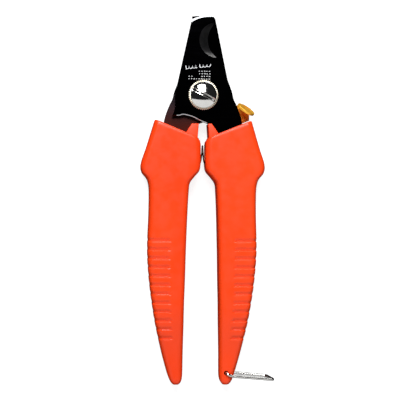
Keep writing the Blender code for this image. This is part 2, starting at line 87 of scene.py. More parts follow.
# The right grip's inner and outer edges, from its slanted rim down.
SHOULDER = [((1.5, -17.7), (19.7, -10.2)), ((0.95, -20.2), (21.1, -14.8)), ((0.9, -24.0), (23.05, -21.3)),
            ((0.9, -28.0), (25.2, -28.0)), ((1.45, -31.0), (24.95, -31.5)), ((3.4, -33.4), (23.05, -34.0))]
HANDLE = [(5.2, 22.25, -36.0), (5.65, 21.85, -39.5), (6.1, 21.9, -49.0), (6.55, 22.3, -63.3),
          (6.8, 21.55, -75.0), (7.1, 20.25, -84.9), (7.2, 18.55, -94.7), (7.35, 16.15, -105.0),
          (7.4, 14.4, -111.4), (7.5, 13.4, -114.6), (8.0, 12.4, -116.8), (9.0, 11.3, -118.0)]
RIGHT_COLLAR = [(1.9, -11.8), (3.4, -11.8), (5.8, -15.2), (8.0, -19.0), (2.4, -19.0)]
LEFT_COLLAR = [(1.9, -11.8), (4.7, -11.8), (6.8, -15.1), (8.0, -19.0), (2.4, -19.0)]
COLLAR_INSET = 1.25
GRIP_ROUNDING = 2.3
RIM_ROUNDING = 0.7
FACE_CROWN = 0.22
TIP_INSET = 2.2
TAPER_START, TAPER_END = -84.0, -109.0
TIP_ROUNDING = 2.5
GROOVES = 12
FIRST_GROOVE_Y = -59.5
GROOVE_PITCH = 3.6
GROOVE_DEPTH = 0.55
GROOVE_ABOVE, GROOVE_BELOW = 1.6, 0.45
GROOVE_SHARE = 0.62
GROOVE_SIDE_SHARE = 0.3
GROOVE_RUN_OUT = 1.6
SEAM_HEIGHT, SEAM_HALF_WIDTH = 0.06, 0.16
CORNER_STEPS, FACE_STEPS = 9, 34
EDGE_STEPS, HANDLE_STEPS, RIM_STEPS = 12, 330, 6

SLOT_GAP = 0.2
HEAD_RADIUS, HEAD_RIM, HEAD_SLOT_DEPTH = 5.3, 0.75, 0.8
HEAD_SLOT_HALF_WIDTH, HEAD_SLOT_WALL, HEAD_SLOT_ANGLE = 0.36, 0.36, -27
SHANK_RADIUS = 2.2
TEETH, TEETH_RADIUS, TOOTH_STEPS = 48, 6.15, 10
COLLAR_ROUNDING = 0.35
SPRING_Y, POCKET_RADIUS, POCKET_DEPTH = -24.2, 4.3, 8.2
DASH_TOP, DASH_ROW_PITCH, DASH_PITCH, DASH_WIDTH = 9.7, 1.05, 1.02, 0.24
WAVE_STEPS = 83
NOSE_HALF_WIDTH, NOSE_LENGTH, HUB_RADIUS, HUB_START, HUB_END = 3.9, 26.0, 6.6, 14, 290
GUARD_ARM = [(11.0, -10.6), (15.7, -11.3), (19.5, -9.7), (19.5, -5.9), (16.4, -4.0), (12.0, -3.0)]
GUARD_BORE, GUARD_ROUNDING = 3.7, 0.12
PAD_CENTRE, PAD_RADIUS, PAD_HALF_THICKNESS = (17.65, -5.5, 7.45), 3.95, 0.5
PAD_TURN, PAD_LEAN, PAD_DISH = -31.5, 20, 0.14
NECK_HALF_WIDTH, NECK_HALF_THICKNESS, NECK_LOW, NECK_HIGH = 1.8, 0.4, -4.5, -2.1
SPRING_TURNS, SPRING_RADIUS, SPRING_WIRE = 8.0, 3.55, 0.32
BAIL_AXIS, BAIL_KNEE = (10.3, -113.1), (12.1, -114.2)
BAIL_BACK_END, BAIL_FRONT_END = (28.0, -115.6), (29.52, -115.6)
BAIL_REACH, BAIL_WIRE, BAIL_PIN_GAP, BAIL_BEND = 5.2, 0.6, 0.3, 1.3
BAIL_HOLE_RADIUS = 0.95


def in_mm(points, side=1):
    return [Vector((side * x, y)) for x, y in points]


def smooth(points, steps):
    """A Catmull-Rom curve through points, with steps straight pieces in each span."""
    ends = [2 * points[0] - points[1], *points, 2 * points[-1] - points[-2]]
    curve = []
    for a, b, c, d in zip(ends, ends[1:], ends[2:], ends[3:]):
        for step in range(steps):
            t = step / steps
            curve.append(b + (c - a) * t / 2 + (2 * a - 5 * b + 4 * c - d) * t * t / 2
                         + (3 * b - a - 3 * c + d) * t ** 3 / 2)
    return [*curve, points[-1]]


def circle(radius, steps=96):
    angles = [2 * math.pi * i / steps for i in range(steps)]
    return [Vector((radius * math.cos(a), radius * math.sin(a))) for a in angles]


def smoothstep(t):
    t = min(1.0, max(0.0, t))
    return t * t * (3 - 2 * t)


def link(name, data):
    made = bpy.data.objects.new(name, data)
    bpy.context.scene.collection.objects.link(made)
    return made


def mesh_object(name, work):
    """An object from a bmesh in millimetres."""
    bmesh.ops.recalc_face_normals(work, faces=work.faces)
    mesh = bpy.data.meshes.new(name)
    work.to_mesh(mesh)
    work.free()
    mesh.transform(Matrix.Scale(MM, 4))
    return link(name, mesh)


def settle(target):
    """Applies the object's modifiers."""
    bpy.context.view_layer.update()
    graph = bpy.context.evaluated_depsgraph_get()
    mesh = bpy.data.meshes.new_from_object(target.evaluated_get(graph))
    target.modifiers.clear()
    target.data = mesh
    return target


def cut(target, cutter, operation="DIFFERENCE"):
    """Applies a Boolean; faces that the cutter leaves keep the cutter's material."""
    change = target.modifiers.new("cut", "BOOLEAN")
    change.operation = operation
    change.object = cutter
    change.material_mode = "TRANSFER"
    settle(target)
    bpy.data.objects.remove(cutter, do_unlink=True)
    return target


def shade(target, degrees=30):
    target.data.shade_smooth()
    target.data.set_sharp_from_angle(angle=math.radians(degrees))
    return target


def paint(target, material):
    target.data.materials.clear()
    target.data.materials.append(material)
    return target


def extruded(name, outline, low, high, rounding=None, segments=1):
    """A flat body between two heights in metres. rounding is a radius for each outline edge's rims."""
    work = bmesh.new()
    rings = []
    for height in (low / MM, high / MM):
        rings.append([work.verts.new((point.x, point.y, height)) for point in outline])
    work.faces.new(rings[0][::-1])
    work.faces.new(rings[1])
    weight = work.edges.layers.float.new("bevel_weight_edge")
    widest = max(rounding) if rounding else 1.0
    for i in range(len(outline)):
        j = (i + 1) % len(outline)
        work.faces.new((rings[0][i], rings[0][j], rings[1][j], rings[1][i]))
        for ring in rings if rounding else ():
            work.edges.get((ring[i], ring[j]))[weight] = rounding[i] / widest
    made = mesh_object(name, work)
    if rounding:
        bevel = made.modifiers.new("rounding", "BEVEL")
        bevel.width = widest * MM
        bevel.segments = segments
        bevel.limit_method = "WEIGHT"
        bevel.use_clamp_overlap = False
        settle(made)
    return made


def cylinder(name, radius, low, high, centre=(0, 0), steps=96):
    """An upright cylinder: radius and centre in millimetres, heights in metres."""
    outline = [point + Vector(centre) for point in circle(radius, steps)]
    return extruded(name, outline, low, high)


def lathe(name, profile, steps=128, closed=False):
    """A turned body from (radius, height) points in millimetres, down its outer side."""
    work = bmesh.new()
    rings = []
    for i in range(steps):
        angle = 2 * math.pi * i / steps
        turned = [(r * math.cos(angle), r * math.sin(angle), h) for r, h in profile]
        rings.append([work.verts.new(point) for point in turned])
    pairs = list(zip(range(len(profile)), range(1, len(profile))))
    if closed:
        pairs.append((len(profile) - 1, 0))
    for i in range(steps):
        for a, b in pairs:
            work.faces.new((rings[i - 1][a], rings[i - 1][b], rings[i][b], rings[i][a]))
    bmesh.ops.remove_doubles(work, verts=work.verts, dist=1e-4)
    return mesh_object(name, work)


def tube(name, path, radius, sides=20):
    """A round tube along a 3D path in millimetres, with closed ends."""
    work = bmesh.new()
    rings = []
    tangent = (path[1] - path[0]).normalized()
    across = tangent.orthogonal().normalized()
    for i, point in enumerate(path):
        ahead = path[min(i + 1, len(path) - 1)] - path[max(i - 1, 0)]
        tangent = ahead.normalized()
        across = (across - tangent * across.dot(tangent)).normalized()
        other = tangent.cross(across)
        turns = [2 * math.pi * k / sides for k in range(sides)]
        rings.append([work.verts.new(point + radius * (across * math.cos(a) + other * math.sin(a)))
                      for a in turns])
    for ring, after in zip(rings, rings[1:]):
        for k in range(sides):
            work.faces.new((ring[k - 1], ring[k], after[k], after[k - 1]))
    for ring, out in ((rings[0], -1), (rings[-1], 1)):
        cap = work.faces.new(ring)
        bmesh.ops.inset_region(work, faces=[cap], thickness=radius * 0.35, depth=0)
    return mesh_object(name, work)


def rounded_path(points, radius, steps=8):
    """A 3D path whose inner corners are cut by curves that start radius before them."""
    path = [points[0]]
    for before, corner, after in zip(points, points[1:], points[2:]):
        start = corner + (before - corner).normalized() * radius
        end = corner + (after - corner).normalized() * radius
        for step in range(steps + 1):
            t = step / steps
            path.append(start * (1 - t) ** 2 + corner * 2 * t * (1 - t) + end * t * t)
    return [*path, points[-1]]


# Materials ---------------------------------------------------------------------------------------


class Finish:
    """A Principled material whose colour, roughness and bump come from noise in object space."""

    def __init__(self, name, metallic=0.0, **sockets):
        self.material = bpy.data.materials.new(name)
        self.material.use_nodes = True
        self.nodes = self.material.node_tree.nodes
        self.links = self.material.node_tree.links
        self.shader = self.nodes["Principled BSDF"]
        self.shader.inputs["Metallic"].default_value = metallic
        for socket, value in sockets.items():
            self.shader.inputs[socket.replace("_", " ")].default_value = value
        self.place = self.nodes.new("ShaderNodeTexCoord").outputs["Object"]
        self.bump = None

    def noise(self, scale, detail=3.0, stretch=(1, 1, 1), turn=0.0, roughness=0.5):
        """Noise with so many features to a metre, stretched along an axis where stretch is low."""
        mapping = self.nodes.new("ShaderNodeMapping")
        mapping.inputs["Scale"].default_value = stretch
        mapping.inputs["Rotation"].default_value = (0, 0, turn)
        texture = self.nodes.new("ShaderNodeTexNoise")
        texture.inputs["Scale"].default_value = scale
        texture.inputs["Detail"].default_value = detail
        texture.inputs["Roughness"].default_value = roughness
        self.links.new(self.place, mapping.inputs["Vector"])
        self.links.new(mapping.outputs["Vector"], texture.inputs["Vector"])
        return texture.outputs["Fac"]

    def along_y(self, start, end, mottle):
        """Zero at one y in millimetres to one at another, mottled by noise."""
        split = self.nodes.new("ShaderNodeSeparateXYZ")
        self.links.new(self.place, split.inputs["Vector"])
        spread = self.nodes.new("ShaderNodeMapRange")
        spread.inputs["From Min"].default_value = start * MM
        spread.inputs["From Max"].default_value = end * MM
        self.links.new(split.outputs["Y"], spread.inputs["Value"])
        mix = self.nodes.new("ShaderNodeMath")
        mix.operation = "MULTIPLY_ADD"
        mix.inputs[1].default_value = mottle
        self.links.new(self.noise(600, 3), mix.inputs[0])
        self.links.new(spread.outputs["Result"], mix.inputs[2])
        return mix.outputs["Value"]

    def ramp(self, source, stops):
        """A colour ramp: (position, colour) stops."""
        ramp = self.nodes.new("ShaderNodeValToRGB")
        elements = ramp.color_ramp.elements
        while len(elements) < len(stops):
            elements.new(0.5)
        for element, (position, color) in zip(elements, stops):
            element.position = position
            element.color = (*color, 1.0)
        self.links.new(source, ramp.inputs["Fac"])
        return ramp.outputs["Color"]

    def colors(self, source, stops):
        self.links.new(self.ramp(source, stops), self.shader.inputs["Base Color"])
        return self

    def roughness(self, source, low, high, start=0.35, end=0.65):
        spread = self.nodes.new("ShaderNodeMapRange")
        spread.inputs["From Min"].default_value = start
        spread.inputs["From Max"].default_value = end
        spread.inputs["To Min"].default_value = low
        spread.inputs["To Max"].default_value = high
        self.links.new(source, spread.inputs["Value"])
        self.links.new(spread.outputs["Result"], self.shader.inputs["Roughness"])
        return self

    def relief(self, source, depth, strength=1.0):
        """A bump of a depth in millimetres, on top of any earlier one."""
        bump = self.nodes.new("ShaderNodeBump")
        bump.inputs["Strength"].default_value = strength
        bump.inputs["Distance"].default_value = depth * MM
        self.links.new(source, bump.inputs["Height"])
        if self.bump:
            self.links.new(self.bump, bump.inputs["Normal"])
        self.bump = bump.outputs["Normal"]
        self.links.new(self.bump, self.shader.inputs["Normal"])
        return self


def orange_plastic():
    """Satin-gloss moulded plastic with a faint orange-peel surface and flow marks."""
    made = Finish("orange_plastic", Specular_IOR_Level=0.35)
    flow = made.noise(45, 4, stretch=(1, 0.35, 1))
    made.colors(flow, [(0.3, (0.84, 0.046, 0.004)), (0.7, (0.92, 0.060, 0.007))])
    made.roughness(made.noise(260, 3), 0.30, 0.42)
    made.relief(made.noise(1100, 2), 0.012, 0.6)
    made.relief(made.noise(5200, 2), 0.003, 0.6)
    return made.material


def black_steel():
    """Black plating polished to a mirror, with faint polishing marks across the plate."""
    made = Finish("black_steel", metallic=1.0)
    made.colors(made.noise(70, 3), [(0.35, (0.013, 0.013, 0.017)), (0.7, (0.022, 0.021, 0.028))])
    made.roughness(made.noise(420, 4, stretch=(0.25, 2.5, 1)), 0.045, 0.10)
    made.relief(made.noise(2600, 2, stretch=(0.12, 1, 1)), 0.0006, 0.5)
    return made.material


def ground_steel():
    """Bare steel with fine grinding marks that run down the bevel."""
    made = Finish("ground_steel", metallic=1.0, Anisotropic=0.35)
    grain = made.noise(900, 4, stretch=(1, 0.1, 1))
    made.colors(grain, [(0.3, (0.50, 0.51, 0.53)), (0.7, (0.66, 0.67, 0.69))])
    made.roughness(made.noise(1500, 3, stretch=(1, 0.1, 1)), 0.20, 0.32)
    made.relief(made.noise(5200, 2, stretch=(1, 0.05, 1)), 0.004, 0.6)
    return made.material


def dark_ground_steel():
    """The notch's bevel: ground, then blackened, and coloured near white towards its lower end as a painted
    highlight.
    """
    made = Finish("dark_ground_steel", metallic=1.0)
    painted_highlight_ramp = made.along_y(18.5, 15.2, 0.15)
    # Painted highlight: the colour runs from dark grey to near white towards the bevel's lower end.
    made.colors(painted_highlight_ramp, [(0.05, (0.07, 0.07, 0.072)), (0.35, (0.16, 0.16, 0.162)), (0.9, (0.95, 0.94, 0.92))])
    made.roughness(made.noise(1500, 3), 0.34, 0.46)
    made.relief(made.noise(4200, 2), 0.003, 0.6)
    return made.material


def rear_black_steel():
    """The rear plate: black near its jaw and a rougher satin towards its tang, where a warm red tint is a
    painted reflection of the orange grip.
    """
    made = Finish("rear_black_steel", metallic=1.0)
    satin_and_painted_reflection = made.along_y(6, -14, 0.10)
    # Painted reflection: the colour turns warm red towards the tang, next to the orange grip.
    made.colors(satin_and_painted_reflection, [(0.08, (0.012, 0.012, 0.015)), (0.4, (0.040, 0.034, 0.042)),
                         (0.75, (0.060, 0.024, 0.024)), (1.0, (0.10, 0.02, 0.014))])
    made.roughness(satin_and_painted_reflection, 0.07, 0.30, 0.1, 0.6)
    made.relief(made.noise(2600, 2, stretch=(0.12, 1, 1)), 0.0006, 0.5)
    return made.material


def chrome():
    """Bright plating with hairline marks and a trace of haze."""
    made = Finish("chrome", metallic=1.0)
    tint = (1.0, 0.985, 0.955)
    low, high = ([level * channel for channel in tint] for level in (0.74, 0.84))
    made.colors(made.noise(160, 3), [(0.35, low), (0.65, high)])
    made.roughness(made.noise(700, 4), 0.05, 0.12)
    made.relief(made.noise(3500, 3, stretch=(1, 0.15, 0.4), turn=0.6), 0.0012, 0.5)
    return made.material


def milled_nickel():
    """Warm nickel plating over milled teeth."""
    made = Finish("milled_nickel", metallic=1.0)
    made.colors(made.noise(900, 3), [(0.35, (0.80, 0.74, 0.60)), (0.65, (0.92, 0.86, 0.72))])
    made.roughness(made.noise(1500, 3), 0.32, 0.45)
    made.relief(made.noise(4000, 2), 0.004, 0.5)
    return made.material


def gold_plate():
    """Yellow enamel-like plating on the pad's face, slightly mottled."""
    made = Finish("gold_plate", metallic=0.45, Specular_IOR_Level=0.6)
    made.colors(made.noise(900, 4), [(0.3, (1.0, 0.43, 0.02)), (0.7, (1.0, 0.58, 0.07))])
    made.roughness(made.noise(900, 3), 0.26, 0.42)
    made.relief(made.noise(2600, 3), 0.03, 0.7)
    return made.material


def gold_plate_painted_grip_reflection():
    """The same plating on the arm, coloured a deeper orange as a painted reflection of the orange grip
    beside it.
    """
    made = Finish("gold_plate_painted_grip_reflection", metallic=0.4, Specular_IOR_Level=0.6)
    made.colors(made.noise(420, 4), [(0.3, (1.0, 0.28, 0.012)), (0.7, (1.0, 0.40, 0.028))])
    made.roughness(made.noise(900, 3), 0.26, 0.42)
    made.relief(made.noise(2400, 3), 0.01, 0.5)
    return made.material


def spring_steel():
    """Dark oil-tempered wire with drawing lines."""
    made = Finish("spring_steel", metallic=1.0)
    made.colors(made.noise(800, 4), [(0.3, (0.06, 0.045, 0.04)), (0.7, (0.13, 0.10, 0.09))])
    made.roughness(made.noise(2500, 3), 0.24, 0.38)
    made.relief(made.noise(4200, 3, stretch=(1, 0.3, 0.3)), 0.004, 0.5)
    return made.material


def white_print():
    """Printed ink, a little uneven."""
    made = Finish("white_print", Specular_IOR_Level=0.3)
    made.colors(made.noise(2600, 3), [(0.3, (0.62, 0.63, 0.65)), (0.6, (0.92, 0.93, 0.95))])
    made.roughness(made.noise(1500, 2), 0.45, 0.6)
    return made.material


ORANGE = orange_plastic()
BLACK = black_steel()
GROUND = ground_steel()
DARK_GROUND = dark_ground_steel()
REAR_BLACK = rear_black_steel()
CHROME = chrome()
MILLED = milled_nickel()
GOLD = gold_plate()
GOLD_WITH_PAINTED_REFLECTION = gold_plate_painted_grip_reflection()
SPRING = spring_steel()
PRINT = white_print()


# Blades ------------------------------------------------------------------------------------------


def plate_stretches(toe):
    """A plate's outline in stretches, anticlockwise, each with its rims' chamfer."""
    flank = in_mm(LEFT_FLANK)
    left = flank[:1] + smooth(flank[1:], 10)[:-1]
    right = smooth(in_mm(RIGHT_FLANK), 10)
    return [(smooth(in_mm(toe), 14), PLATE_ROUNDING), (left, PLATE_ROUNDING),
            (smooth(in_mm(WAVY_EDGE), 12), WAVY_ROUNDING), (in_mm(TANG), PLATE_ROUNDING),
            (right, PLATE_ROUNDING), (in_mm(MOUTH), PLATE_ROUNDING)]


def notch_cone():
    """The ground notch: a cone from the cutting edge's arc to the bevel's arc, run past both faces."""
    low, high = Vector(EDGE_CENTRE), Vector(BEVEL_CENTRE)
    past = 0.2
    work = bmesh.new()
    rings = []
    for share in (-past, 1 + past):
        centre, radius = low.lerp(high, share), EDGE_RADIUS + (BEVEL_RADIUS - EDGE_RADIUS) * share
        height = (FRONT_LOW + PLATE_THICKNESS * share) / MM
        rings.append([work.verts.new((*(point + centre), height)) for point in circle(radius, 256)])
    for i in range(len(rings[0])):
        work.faces.new((rings[0][i - 1], rings[0][i], rings[1][i], rings[1][i - 1]))
    work.faces.new(rings[0])
    work.faces.new(rings[1])
    return paint(mesh_object("notch", work), DARK_GROUND)


def toe_ring():
    """A ring outside a cone about a point below the toe: what it cuts is the toe's ground bevel."""
    past, steepness = 0.6, math.tan(math.radians(TOE_BEVEL_SLOPE))
    face, radius, thick = FRONT_HIGH / MM, TOE_BEVEL_RADIUS, 6
    profile = [(radius + thick, face + thick), (radius + thick, face - thick * steepness),
               (radius - past, face + past * steepness), (radius - past, face + thick)]
    ring = lathe("toe", profile, 720, closed=True)
    ring.data.transform(Matrix.Translation((TOE_BEVEL_CENTRE[0] * MM, TOE_BEVEL_CENTRE[1] * MM, 0)))
    keep = [Vector(p) for p in ((-8, 27), (8, 27), (8, 40), (-8, 40))]
    window = extruded("window", keep, FRONT_LOW, FRONT_HIGH + 8 * MM)
    return paint(cut(ring, window, "INTERSECT"), GROUND)


def on_wavy_edge(spot):
    """Whether a point of the front plate lies on its lower left edge."""
    return spot.y < -7.5 * MM and spot.x < 5.5 * MM


def flatten_wavy_chamfer(plate):
    """Raises the wavy edge's chamfer from 45 degrees to a shallow slope."""
    foot = FRONT_HIGH - WAVY_ROUNDING * MM
    for vertex in plate.data.vertices:
        if on_wavy_edge(vertex.co) and abs(vertex.co.z - foot) < 0.01 * MM:
            vertex.co.z = FRONT_HIGH - WAVY_DROP * MM


def brighten_wavy_edge(plate):
    """The wavy edge's chamfer takes the lighter ground steel, a painted highlight along the edge on top of
    what its rounding catches from the lamps.
    """
    slot = [material.name for material in plate.data.materials].index(GROUND.name)
    for face in plate.data.polygons:
        if on_wavy_edge(face.center) and 0.8 < face.normal.z < 0.99:
            face.material_index = slot


def blade(name, toe, hole_radius, body, node):
    """A plate; the rear one is turned over."""
    outline, rounding = [], []
    for points, radius in plate_stretches(toe):
        outline += points
        rounding += [radius] * (len(points) - 1) + [PLATE_ROUNDING]
    plate = extruded(name, outline, FRONT_LOW, FRONT_HIGH, rounding)
    flatten_wavy_chamfer(plate)
    turned_over = node == "rear_blade"
    paint(plate, REAR_BLACK if turned_over else BLACK)
    cut(plate, notch_cone())
    cut(plate, toe_ring())
    cut(plate, paint(cylinder("hole", hole_radius, FRONT_LOW - MM, FRONT_HIGH + MM), GROUND))
    if turned_over:
        over = Matrix.Translation((0, 0, 2 * MIDDLE)) @ Matrix.Rotation(math.pi, 4, "Y")
        plate.data.transform(over)
    else:
        brighten_wavy_edge(plate)
    shade(plate, 12)
    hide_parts(node)
    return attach(plate, body)


# Grips -------------------------------------------------------------------------------------------


def groove_depth(y):
    """A long slope from above, then a steep rise below."""
    nearest = round((FIRST_GROOVE_Y - y) / GROOVE_PITCH)
    if not 0 <= nearest < GROOVES:
        return 0.0
    below = FIRST_GROOVE_Y - nearest * GROOVE_PITCH - y
    reach = GROOVE_BELOW if below > 0 else GROOVE_ABOVE
    return GROOVE_DEPTH * smoothstep(1 - abs(below) / reach)


def half_thickness(y):
    half = GRIP_THICKNESS / MM / 2 - TIP_INSET * smoothstep((TAPER_START - y) / (TAPER_START - TAPER_END))
    near_end = max(0.0, 1 - (y - HANDLE[-1][2]) / TIP_ROUNDING)
    return half - TIP_ROUNDING * 0.6 * (1 - math.sqrt(1 - min(1.0, near_end) ** 2))


def grip_section(inner, outer, half, corner, groove):
    """A rounded rectangle on the line from inner to outer, with crowned faces and a parting line."""
    across = outer - inner
    width, top = across.length, half - corner
    turns = [math.pi / 2 * i / CORNER_STEPS for i in range(CORNER_STEPS + 1)]
    outer_side = [(width, z) for z in (0.0, SEAM_HALF_WIDTH / 2, SEAM_HALF_WIDTH, top / 2)]
    outer_side += [(width - corner + corner * math.cos(a), top + corner * math.sin(a)) for a in turns]
    flat = (width - 2 * corner) / FACE_STEPS
    face = [(width - corner - flat * i, half) for i in range(1, FACE_STEPS)]
    upper = outer_side + face + [(width - u, z) for u, z in reversed(outer_side)]
    shaped = [shape_section(u, z, width, half, corner, groove) for u, z in upper]
    around = shaped + [(u, -z) for u, z in reversed(shaped[1:-1])]
    return [(*(inner + across * (u / width)), MIDDLE / MM + z) for u, z in around]


def shape_section(u, z, width, half, corner, groove):
    """Moves a section's point: the crown, the groove over the outer part and the parting line."""
    middle = width / 2
    side = max(0.0, (abs(u - middle) - middle + corner) / corner)
    run_out = min(GROOVE_RUN_OUT, 0.15 * width)
    sink = groove * smoothstep((u - width * (1 - GROOVE_SHARE)) / run_out)
    seam = SEAM_HEIGHT * side * min(1.0, z / SEAM_HALF_WIDTH)
    z -= (FACE_CROWN * ((u - middle) / middle) ** 2 + sink) * (z / half)
    return (u - seam - sink * side * GROOVE_SIDE_SHARE if u > middle else u + seam), z


def point_at(edge, y):
    """The point of a descending edge at a height."""
    for above, below in zip(edge, edge[1:]):
        if above.y >= y >= below.y:
            return above.lerp(below, (above.y - y) / (above.y - below.y))
    return edge[-1]


def grip_rows():
    """Inner edge, outer edge, half thickness, corner radius and groove depth, from rim to tip."""
    level = [((x_in, y), (x_out, y)) for x_in, x_out, y in HANDLE]
    edges = ([Vector(pair[i]) for pair in SHOULDER + level] for i in (0, 1))
    inner, outer = (smooth(edge, EDGE_STEPS) for edge in edges)
    split = EDGE_STEPS * len(SHOULDER)
    pairs = list(zip(inner[:split], outer[:split]))
    top, bottom = inner[split].y, inner[-1].y
    for i in range(HANDLE_STEPS + 1):
        y = top + (bottom - top) * i / HANDLE_STEPS
        pairs.append((point_at(inner, y), point_at(outer, y)))
    rows = []
    first = FIRST_GROOVE_Y + GROOVE_ABOVE
    for near, far in pairs:
        half = half_thickness(min(near.y, far.y))
        corner = min(GRIP_ROUNDING, 0.35 * (far - near).length, 0.8 * half)
        rows.append((near, far, half, corner, groove_depth(near.y) if near.y <= first else 0.0))
    near, far, half, corner, groove = rows[0]
    along = (far - near).normalized()
    down = Vector((along.y, -along.x))
    rim = []
    for i in range(RIM_STEPS):
        a = math.pi / 2 * i / RIM_STEPS
        inset, drop = RIM_ROUNDING * (1 - math.sin(a)), RIM_ROUNDING * (1 - math.cos(a))
        rim.append((near + along * inset + down * drop, far - along * inset + down * drop,
                    half - inset, corner, groove))
    return rim + [row for row in rows if (row[0] - near).dot(down) > RIM_ROUNDING]


def loft(name, rings):
    """A closed body through rings with the same number of points."""
    work = bmesh.new()
    rings = [[work.verts.new(point) for point in ring] for ring in rings]
    for upper, lower in zip(rings, rings[1:]):
        for i in range(len(upper)):
            work.faces.new((upper[i - 1], upper[i], lower[i], lower[i - 1]))
    work.faces.new(rings[0])
    work.faces.new(rings[-1])
    return mesh_object(name, work)


def outset(outline, distance):
    """An anticlockwise outline moved outwards."""
    moved = []
    for i, point in enumerate(outline):
        before = (point - outline[i - 1]).normalized()
        after = (outline[(i + 1) % len(outline)] - point).normalized()
        mitre = Vector((before.y + after.y, -before.x - after.x)).normalized()
        reach = max(0.4, mitre.dot(Vector((before.y, -before.x))))
        moved.append(point + mitre * distance / reach)
    return moved


def grip(name, side, collar, plate_low, node, body):
    """A grip with its collar, the plate's slot and the spring's pocket; side is 1 for the right one."""
    rings = []
    for near, far, half, corner, groove in grip_rows():
        ring = grip_section(near, far, half, corner, groove)
        rings.append([(side * x, y, z) for x, y, z in ring])
    made = loft(name, rings)
    corners = in_mm(collar, side)
    if side > 0:
        corners.reverse()
    low, high = COLLAR_INSET * MM, GRIP_THICKNESS - COLLAR_INSET * MM
    cut(made, extruded("collar", corners, low, high, [COLLAR_ROUNDING] * len(corners), 4), "UNION")
    tang = outset([point for points, _ in plate_stretches(FRONT_TOE) for point in points], SLOT_GAP)
    tang = [Vector((side * point.x, point.y)) for point in tang]
    gap = SLOT_GAP * MM
    cut(made, extruded("slot", tang, plate_low - gap, plate_low + PLATE_THICKNESS + gap))
    pocket = cylinder("pocket", POCKET_RADIUS, -2 * MM, POCKET_DEPTH * MM, steps=64)
    turn = Matrix.Translation((0, SPRING_Y * MM, MIDDLE)) @ Matrix.Rotation(side * math.pi / 2, 4, "Y")
    pocket.data.transform(turn)
    cut(made, pocket)
    if side > 0:
        cut(made, cylinder("hole", BAIL_HOLE_RADIUS, -MM, GRIP_THICKNESS + MM, BAIL_AXIS, 48))
    paint(made, ORANGE)
    shade(made, 38)
    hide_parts(node)
    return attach(made, body)


# Pivot -------------------------------------------------------------------------------------------


def head_height(u, v, low, high):
    """The dome's height at a point; the slot runs along u."""
    rise = high - low - HEAD_RIM
    ball = (HEAD_RADIUS ** 2 + rise ** 2) / (2 * rise)
    dome = high - ball + math.sqrt(ball ** 2 - min(u * u + v * v, HEAD_RADIUS ** 2))
    slot = HEAD_SLOT_DEPTH * (1 - smoothstep((abs(v) - HEAD_SLOT_HALF_WIDTH) / HEAD_SLOT_WALL))
    return max(dome - slot, low + 0.15)


def slotted_head():
    """The domed head, meshed in rows along its slot that lie closer together over the slot."""
    low, high = WASHER_HIGH / MM + 0.02, HEAD_HIGH / MM
    inner = [0.04 * i for i in range(24)]
    outer = HEAD_RADIUS - inner[-1]
    rows = inner + [inner[-1] + outer * math.sin(math.pi / 2 * i / 30) for i in range(1, 31)]
    rows = [-v for v in reversed(rows[1:])] + rows
    columns = 72
    work = bmesh.new()
    grid = []
    for v in rows:
        half = math.sqrt(max(0.0, HEAD_RADIUS ** 2 - v * v))
        line = [-half * math.cos(math.pi * j / columns) for j in range(columns + 1)]
        grid.append([work.verts.new((u, v, head_height(u, v, low, high))) for u in line])
    for line, after in zip(grid, grid[1:]):
        for j in range(columns):
            work.faces.new((line[j], line[j + 1], after[j + 1], after[j]))
    around = [line[-1] for line in grid] + [line[0] for line in reversed(grid)]
    foot = [work.verts.new((vertex.co.x, vertex.co.y, low)) for vertex in around]
    for i in range(len(around)):
        work.faces.new((around[i - 1], around[i], foot[i], foot[i - 1]))
    work.faces.new(foot)
    bmesh.ops.remove_doubles(work, verts=work.verts, dist=1e-4)
    head = mesh_object("screw_head", work)
    head.data.transform(Matrix.Rotation(math.radians(HEAD_SLOT_ANGLE), 4, "Z"))
    return head


def pivot_screw():
    """A domed head with a slot, on its shank."""
    top = WASHER_HIGH / MM + 0.1
    screw = slotted_head()
    profile = [(0, top), (SHANK_RADIUS, top), (SHANK_RADIUS, 0.15), (SHANK_RADIUS - 0.15, 0), (0, 0)]
    shank = lathe("shank", profile, 96)
    cut(screw, shank, "UNION")
    paint(shade(screw, 50), CHROME)
    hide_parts("pivot_screw")
    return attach(screw, "right_lever")


def milled_washer():
    """A ring whose outer rim is milled into rounded teeth."""
    low, high = WASHER_LOW / MM - 0.25, WASHER_HIGH / MM
    work = bmesh.new()
    rings = []
    for i in range(TEETH * TOOTH_STEPS):
        angle = 2 * math.pi * i / (TEETH * TOOTH_STEPS)
        across = 2 * (i % TOOTH_STEPS) / TOOTH_STEPS - 1
        dip = 1 - math.sqrt(1 - across * across)
        outer = TEETH_RADIUS - 0.45 * dip
        crest = high - 0.42 * dip
        profile = [(2.5, high), (5.3, high), (5.42, high - 0.12 * dip), (outer - 0.25, crest),
                   (outer - 0.05, crest - 0.1), (outer, crest - 0.28), (outer, low), (2.5, low)]
        turned = [(r * math.cos(angle), r * math.sin(angle), h) for r, h in profile]
        rings.append([work.verts.new(point) for point in turned])
    for i in range(len(rings)):
        for k in range(len(rings[0])):
            work.faces.new((rings[i - 1][k - 1], rings[i - 1][k], rings[i][k], rings[i][k - 1]))
    washer = paint(shade(mesh_object("milled_washer", work), 50), MILLED)
    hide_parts("toothed_washer")
    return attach(washer, "right_lever")


# Spring ------------------------------------------------------------------------------------------


